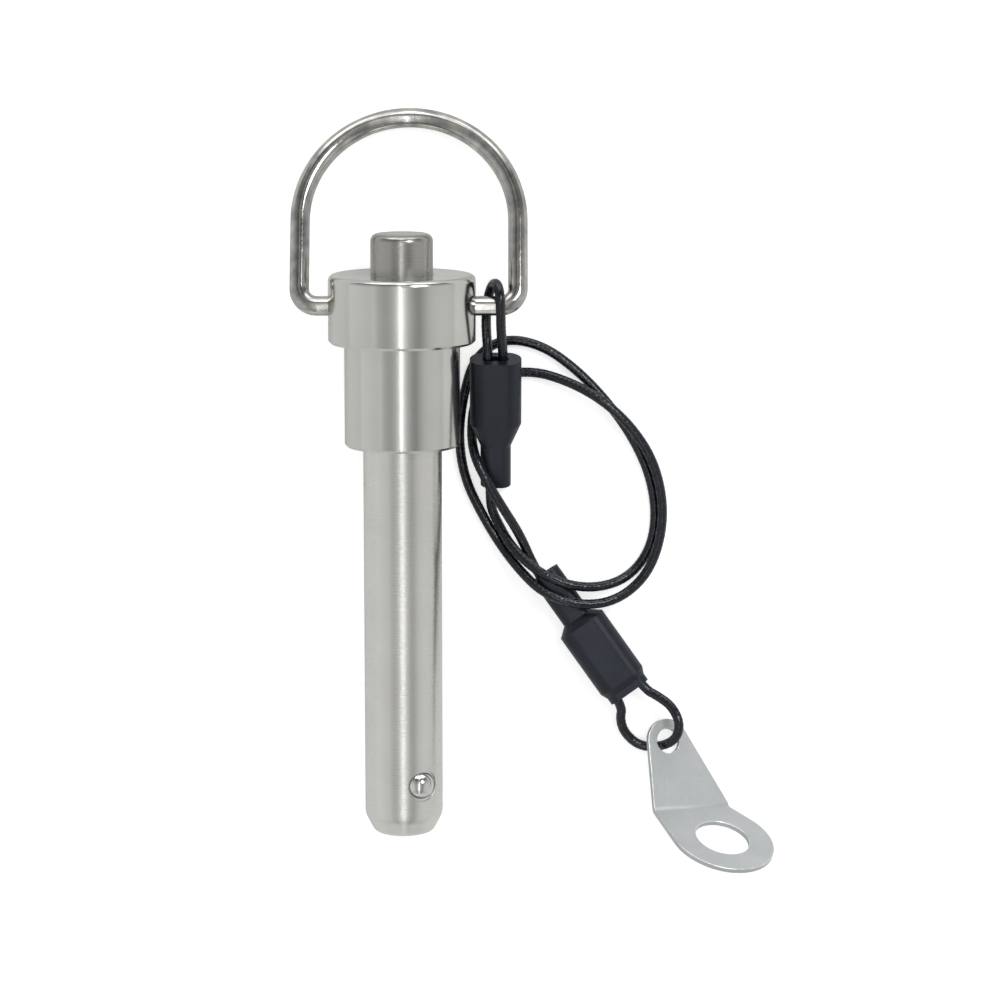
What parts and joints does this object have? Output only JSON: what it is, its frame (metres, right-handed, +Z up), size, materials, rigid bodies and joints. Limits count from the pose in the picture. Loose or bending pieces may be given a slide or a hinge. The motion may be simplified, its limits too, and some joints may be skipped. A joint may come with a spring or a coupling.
{
  "type": "ball lock pin",
  "caption": "Push-button ball lock pin with a wire bail and a coated wire-rope lanyard ending in a bent anchor tab.",
  "frame": {"origin": "on the floor, at the middle of the pin and bail's plan box", "axes": "+Y along the lying pin, from its tip towards the bail; +Z up; +X to the side where the lanyard lies"},
  "size_m": [0.0743, 0.1164, 0.023],
  "materials": {
    "turned_steel": "fine turned stainless",
    "ground_steel": "ground and polished stainless",
    "button_steel": "turned stainless",
    "spring_steel": "drawn wire",
    "ball_steel": "polished hard steel",
    "bail_wire": "polished stainless wire",
    "cable_coating": "glossy coating over stranded wire rope",
    "ferrule_metal": "crimped",
    "shrink_tubing": "satin",
    "tab_steel": "satin stamped sheet"
  },
  "bodies": {
    "pin": {"head": "turned_steel", "shank": "ground_steel", "return_spring": "spring_steel", "lanyard_cable": "cable_coating", "bail_end_ferrule": "ferrule_metal", "bail_end_sleeve": "shrink_tubing", "tab_end_ferrule": "ferrule_metal", "tab_end_sleeve": "shrink_tubing", "anchor_tab": "tab_steel"},
    "plunger": {"button": "button_steel", "spindle": "turned_steel"},
    "ball_right": {"ball_right": "ball_steel"},
    "ball_left": {"ball_left": "ball_steel"},
    "bail": {"bail": "bail_wire"}
  },
  "joints": [
    {"name": "button_press", "type": "slide", "parent": "pin", "child": "plunger", "axis": [0, -0.9975, -0.071], "range_m": [0, 0.0044], "stiffness_N_per_m": 1500, "springref_m": -0.004, "deforming": ["return_spring"]},
    {"name": "ball_right_in", "type": "slide", "parent": "pin", "child": "ball_right", "axis": [-0.515, 0.0608, -0.855], "range_m": [0, 0.0011]},
    {"name": "ball_left_in", "type": "slide", "parent": "pin", "child": "ball_left", "axis": [0.515, -0.0608, 0.855], "range_m": [0, 0.0011]},
    {"name": "bail_swing", "type": "hinge", "parent": "pin", "child": "bail", "pos_m": [0, 0.02594, 0.01154], "axis": [1, 0, 0], "range_deg": [-85, 187]}
  ],
  "couplings": [
    {"joint": "ball_right_in", "follows": "button_press", "ratio": 0.25},
    {"joint": "ball_left_in", "follows": "button_press", "ratio": 0.25}
  ]
}
